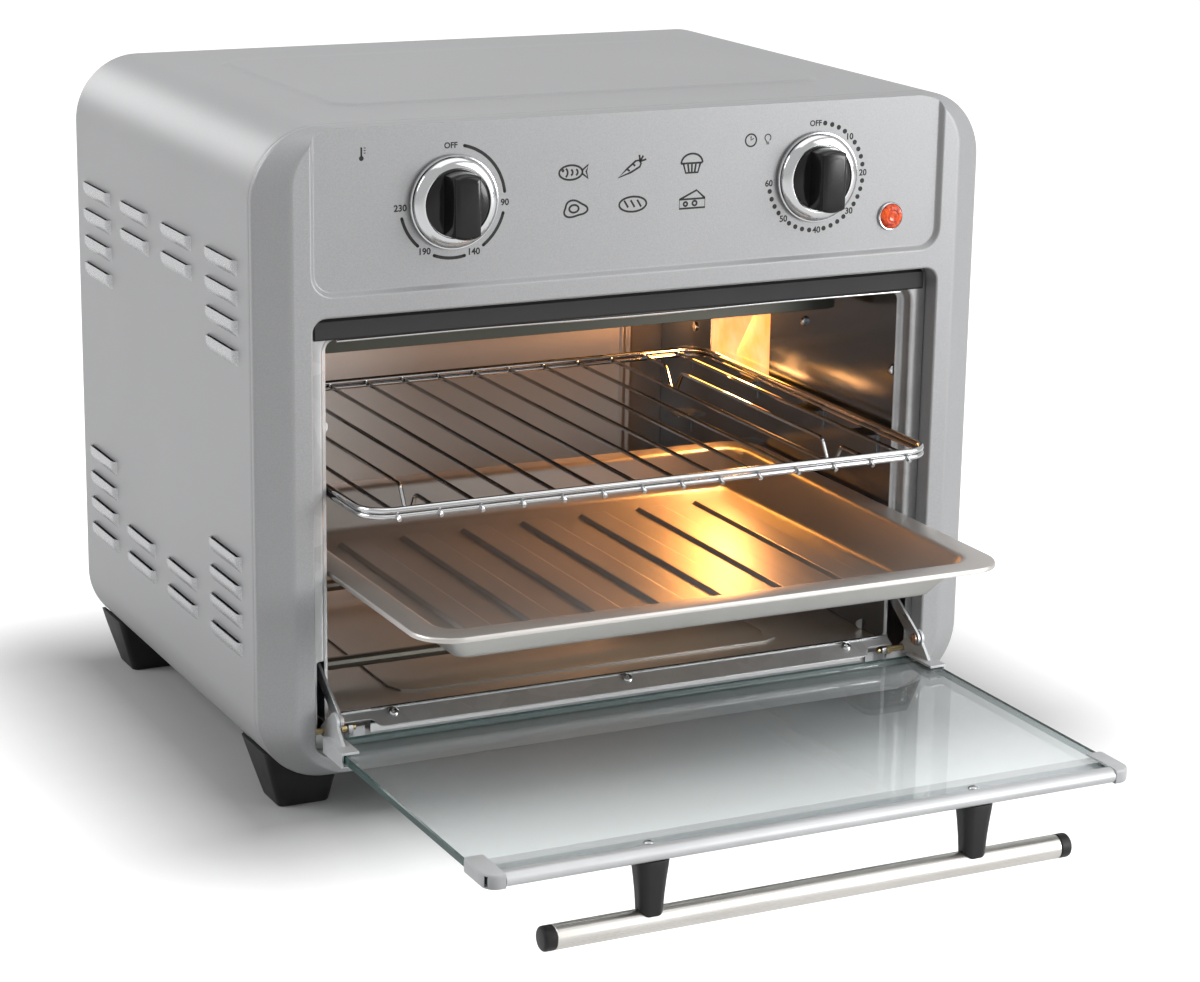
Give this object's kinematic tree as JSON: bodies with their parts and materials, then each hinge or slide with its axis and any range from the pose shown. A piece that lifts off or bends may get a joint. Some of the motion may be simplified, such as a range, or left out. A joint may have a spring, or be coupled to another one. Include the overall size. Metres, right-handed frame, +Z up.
{
  "type": "countertop air fryer oven",
  "caption": "Countertop oven with a bottom-hinged glass door standing open, a pull handle, a wire rack and a baking tray drawn out, rotary controls and a convection fan.",
  "frame": {"origin": "on the standing surface, under the centre of the open oven's bounding box", "axes": "+Z up from the feet, the front and the open door face -Y, +X is the right side seen from the front"},
  "size_m": [0.406, 0.5036, 0.344],
  "materials": {
    "silver_paint": "fine metallic satin paint",
    "galvanised_steel": "galvanised, with a faint spangle",
    "liner_steel": "bare liner sheet, satin",
    "dark_steel": "dark, heat-stained",
    "zinc": "zinc plated",
    "brass": "satin",
    "chrome": "bright plated",
    "handle_steel": "brushed",
    "trim_metal": "satin",
    "tray_metal": "aluminised, with a spangle",
    "black_plastic": "satin moulded",
    "gloss_black": "polished",
    "rubber": "matt",
    "door_glass": "clear, with a green tint at the edges",
    "lamp_glass": "clear",
    "lamp_red": "translucent",
    "ceramic": "unglazed",
    "grey_plastic": "moulded"
  },
  "bodies": {
    "housing": {"outer_cover": "silver_paint", "front_frame": "silver_paint", "bottom_plate": "galvanised_steel", "back_panel": "galvanised_steel", "cord_gland": "rubber", "foot_front_left": "black_plastic", "foot_front_right": "black_plastic", "foot_back_left": "black_plastic", "foot_back_right": "black_plastic", "cavity_flange": "galvanised_steel", "cavity_left_wall": "liner_steel", "cavity_right_wall": "liner_steel", "cavity_back_wall": "liner_steel", "cavity_ceiling": "liner_steel", "cavity_floor": "liner_steel", "door_seal": "rubber", "sill_plate": "galvanised_steel", "hinge_mount_left": "zinc", "hinge_mount_right": "zinc", "hinge_pin_left": "brass", "hinge_pin_right": "brass", "hinge_spring_left": "zinc", "hinge_spring_right": "zinc", "upper_guard": "dark_steel", "upper_element": "dark_steel", "lower_element_front": "dark_steel", "lower_element_back": "dark_steel", "fan_housing": "galvanised_steel", "fan_motor": "dark_steel", "lamp_glass": "lamp_glass", "lamp_housing": "galvanised_steel", "lamp_bulb": "lamp_glass", "lamp_socket": "ceramic", "thermostat": "ceramic", "timer": "grey_plastic", "power_lamp_bezel": "trim_metal", "power_lamp_lens": "lamp_red"},
    "door": {"door_glass": "door_glass", "door_trim": "trim_metal", "trim_end_left": "grey_plastic", "trim_end_right": "grey_plastic", "handle_tube": "handle_steel", "handle_end_left": "black_plastic", "handle_end_right": "black_plastic", "handle_post_left": "black_plastic", "handle_post_right": "black_plastic", "hinge_bracket_left": "trim_metal", "hinge_bracket_right": "trim_metal"},
    "link_left": {"hinge_link_left": "zinc"},
    "link_right": {"hinge_link_right": "zinc"},
    "tray": {"baking_tray": "tray_metal"},
    "rack": {"wire_rack": "chrome"},
    "temperature_control": {"temperature_knob": "gloss_black", "temperature_knob_ring": "chrome", "temperature_spindle": "zinc"},
    "timer_control": {"timer_knob": "gloss_black", "timer_knob_ring": "chrome", "timer_spindle": "zinc"},
    "fan_rotor": {"fan_impeller": "zinc"}
  },
  "joints": [
    {"name": "door_hinge", "type": "hinge", "parent": "housing", "child": "door", "pos_m": [0, -0.0468, 0.0442], "axis": [-1, 0, 0], "range_deg": [0, 90], "deforming": ["hinge_spring_left", "hinge_spring_right"]},
    {"name": "link_left_pivot", "type": "hinge", "parent": "door", "child": "link_left", "pos_m": [-0.1644, -0.062, 0.054], "axis": [1, 0, 0], "range_deg": [0, 90]},
    {"name": "link_right_pivot", "type": "hinge", "parent": "door", "child": "link_right", "pos_m": [0.1644, -0.062, 0.054], "axis": [1, 0, 0], "range_deg": [0, 90]},
    {"name": "tray_slide", "type": "slide", "parent": "housing", "child": "tray", "axis": [0, 1, 0], "range_m": [0, 0.111]},
    {"name": "rack_slide", "type": "slide", "parent": "housing", "child": "rack", "axis": [0, 1, 0], "range_m": [0, 0.054]},
    {"name": "temperature_turn", "type": "hinge", "parent": "housing", "child": "temperature_control", "pos_m": [-0.1, -0.051, 0.304], "axis": [0, 1, 0], "range_deg": [0, 270]},
    {"name": "timer_turn", "type": "hinge", "parent": "housing", "child": "timer_control", "pos_m": [0.1, -0.051, 0.304], "axis": [0, 1, 0], "range_deg": [0, 270]},
    {"name": "fan_spin", "type": "hinge", "parent": "housing", "child": "fan_rotor", "pos_m": [0, 0.09855, 0.26], "axis": [0, 0, 1], "continuous": true}
  ],
  "couplings": [
    {"joint": "link_left_pivot", "follows": "door_hinge", "ratio": 1},
    {"joint": "link_right_pivot", "follows": "door_hinge", "ratio": 1},
    {"joint": "tray_slide", "follows": "door_hinge", "m_per_rad": 0.0706},
    {"joint": "rack_slide", "follows": "door_hinge", "m_per_rad": 0.0343}
  ]
}
